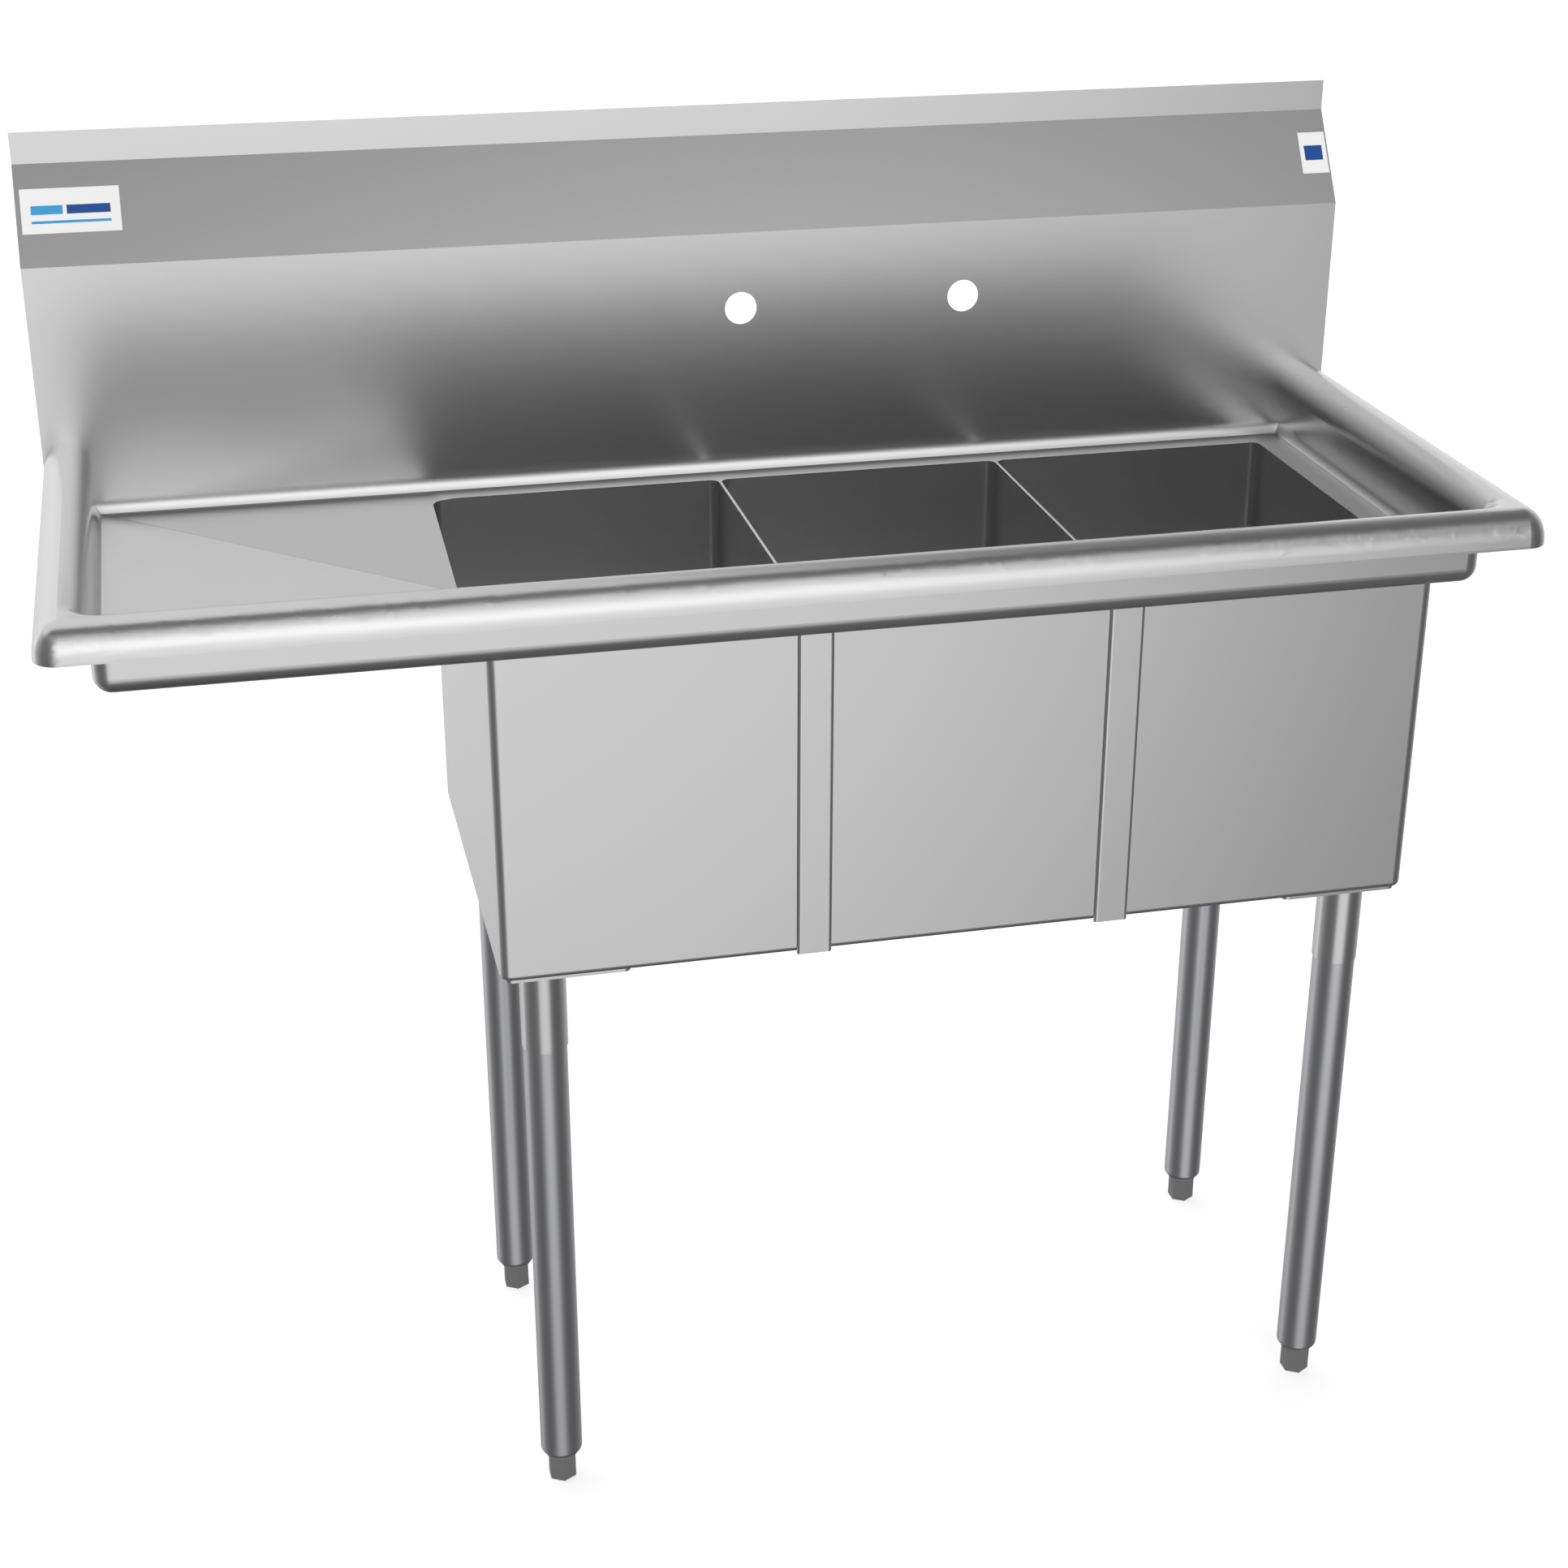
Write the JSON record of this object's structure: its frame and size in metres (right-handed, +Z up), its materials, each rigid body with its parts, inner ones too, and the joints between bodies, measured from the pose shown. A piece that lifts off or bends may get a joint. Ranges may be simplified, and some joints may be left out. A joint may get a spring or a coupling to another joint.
{
  "type": "three compartment sink",
  "caption": "Free-standing stainless commercial sink with deep bowls, a creased drainboard on the left, a rolled rim, a tall backsplash and round legs on screw feet.",
  "frame": {"origin": "middle of the footprint's bounding box at floor level, feet screwed fully in", "axes": "+X to the right along the length seen from the front, +Y towards the wall, +Z up"},
  "size_m": [1.161, 0.5042, 1.1133],
  "materials": {
    "stainless": "fine horizontal brushed grain",
    "drain_steel": "satin",
    "gasket_rubber": "matte black rubber",
    "nut_brass": "cast, dull",
    "socket_steel": "satin, polished round",
    "screw_steel": "zinc plated",
    "galvanised": "bluish grey galvanised, satin",
    "foot_grey": "matte mid grey",
    "label_film": "white printed film, no lettering"
  },
  "bodies": {
    "sink": {"pan_wall": "stainless", "deck_sheet": "stainless", "backsplash": "stainless", "label_left": "label_film", "label_right": "label_film", "bowl_left": "stainless", "drain_body_left": "drain_steel", "drain_gasket_left": "gasket_rubber", "drain_nut_left": "nut_brass", "bowl_middle": "stainless", "drain_body_middle": "drain_steel", "drain_gasket_middle": "gasket_rubber", "drain_nut_middle": "nut_brass", "bowl_right": "stainless", "drain_body_right": "drain_steel", "drain_gasket_right": "gasket_rubber", "drain_nut_right": "nut_brass", "front_strip_left": "stainless", "rear_strip_left": "stainless", "front_strip_right": "stainless", "rear_strip_right": "stainless", "gusset_plate_front_left": "stainless", "leg_socket_front_left": "socket_steel", "set_screw_front_left": "screw_steel", "leg_tube_front_left": "galvanised", "foot_insert_front_left": "foot_grey", "gusset_plate_front_right": "stainless", "leg_socket_front_right": "socket_steel", "set_screw_front_right": "screw_steel", "leg_tube_front_right": "galvanised", "foot_insert_front_right": "foot_grey", "gusset_plate_back_left": "stainless", "leg_socket_back_left": "socket_steel", "set_screw_back_left": "screw_steel", "leg_tube_back_left": "galvanised", "foot_insert_back_left": "foot_grey", "gusset_plate_back_right": "stainless", "leg_socket_back_right": "socket_steel", "set_screw_back_right": "screw_steel", "leg_tube_back_right": "galvanised", "foot_insert_back_right": "foot_grey"},
    "strainer_left": {"strainer_basket_left": "drain_steel", "strainer_post_left": "drain_steel", "strainer_stopper_left": "gasket_rubber"},
    "strainer_middle": {"strainer_basket_middle": "drain_steel", "strainer_post_middle": "drain_steel", "strainer_stopper_middle": "gasket_rubber"},
    "strainer_right": {"strainer_basket_right": "drain_steel", "strainer_post_right": "drain_steel", "strainer_stopper_right": "gasket_rubber"},
    "stem_front_left": {"foot_stem_front_left": "screw_steel"},
    "foot_front_left": {"foot_hex_front_left": "foot_grey"},
    "stem_front_right": {"foot_stem_front_right": "screw_steel"},
    "foot_front_right": {"foot_hex_front_right": "foot_grey"},
    "stem_back_left": {"foot_stem_back_left": "screw_steel"},
    "foot_back_left": {"foot_hex_back_left": "foot_grey"},
    "stem_back_right": {"foot_stem_back_right": "screw_steel"},
    "foot_back_right": {"foot_hex_back_right": "foot_grey"}
  },
  "joints": [
    {"name": "strainer_lift_left", "type": "slide", "parent": "sink", "child": "strainer_left", "axis": [0, 0, 1], "range_m": [0, 0.4]},
    {"name": "strainer_lift_middle", "type": "slide", "parent": "sink", "child": "strainer_middle", "axis": [0, 0, 1], "range_m": [0, 0.4]},
    {"name": "strainer_lift_right", "type": "slide", "parent": "sink", "child": "strainer_right", "axis": [0, 0, 1], "range_m": [0, 0.4]},
    {"name": "foot_slide_front_left", "type": "slide", "parent": "sink", "child": "stem_front_left", "axis": [0, 0, -1], "range_m": [0, 0.0254]},
    {"name": "foot_turn_front_left", "type": "hinge", "parent": "stem_front_left", "child": "foot_front_left", "pos_m": [-0.2199, -0.1585, 0.012], "axis": [0, 0, -1], "range_deg": [0, 4681]},
    {"name": "foot_slide_front_right", "type": "slide", "parent": "sink", "child": "stem_front_right", "axis": [0, 0, -1], "range_m": [0, 0.0254]},
    {"name": "foot_turn_front_right", "type": "hinge", "parent": "stem_front_right", "child": "foot_front_right", "pos_m": [0.4731, -0.1585, 0.012], "axis": [0, 0, -1], "range_deg": [0, 4681]},
    {"name": "foot_slide_back_left", "type": "slide", "parent": "sink", "child": "stem_back_left", "axis": [0, 0, -1], "range_m": [0, 0.0254]},
    {"name": "foot_turn_back_left", "type": "hinge", "parent": "stem_back_left", "child": "foot_back_left", "pos_m": [-0.2199, 0.1388, 0.012], "axis": [0, 0, -1], "range_deg": [0, 4681]},
    {"name": "foot_slide_back_right", "type": "slide", "parent": "sink", "child": "stem_back_right", "axis": [0, 0, -1], "range_m": [0, 0.0254]},
    {"name": "foot_turn_back_right", "type": "hinge", "parent": "stem_back_right", "child": "foot_back_right", "pos_m": [0.4731, 0.1388, 0.012], "axis": [0, 0, -1], "range_deg": [0, 4681]}
  ],
  "couplings": [
    {"joint": "foot_turn_front_left", "follows": "foot_slide_front_left", "rad_per_m": 3215.8},
    {"joint": "foot_turn_front_right", "follows": "foot_slide_front_right", "rad_per_m": 3215.8},
    {"joint": "foot_turn_back_left", "follows": "foot_slide_back_left", "rad_per_m": 3215.8},
    {"joint": "foot_turn_back_right", "follows": "foot_slide_back_right", "rad_per_m": 3215.8}
  ]
}
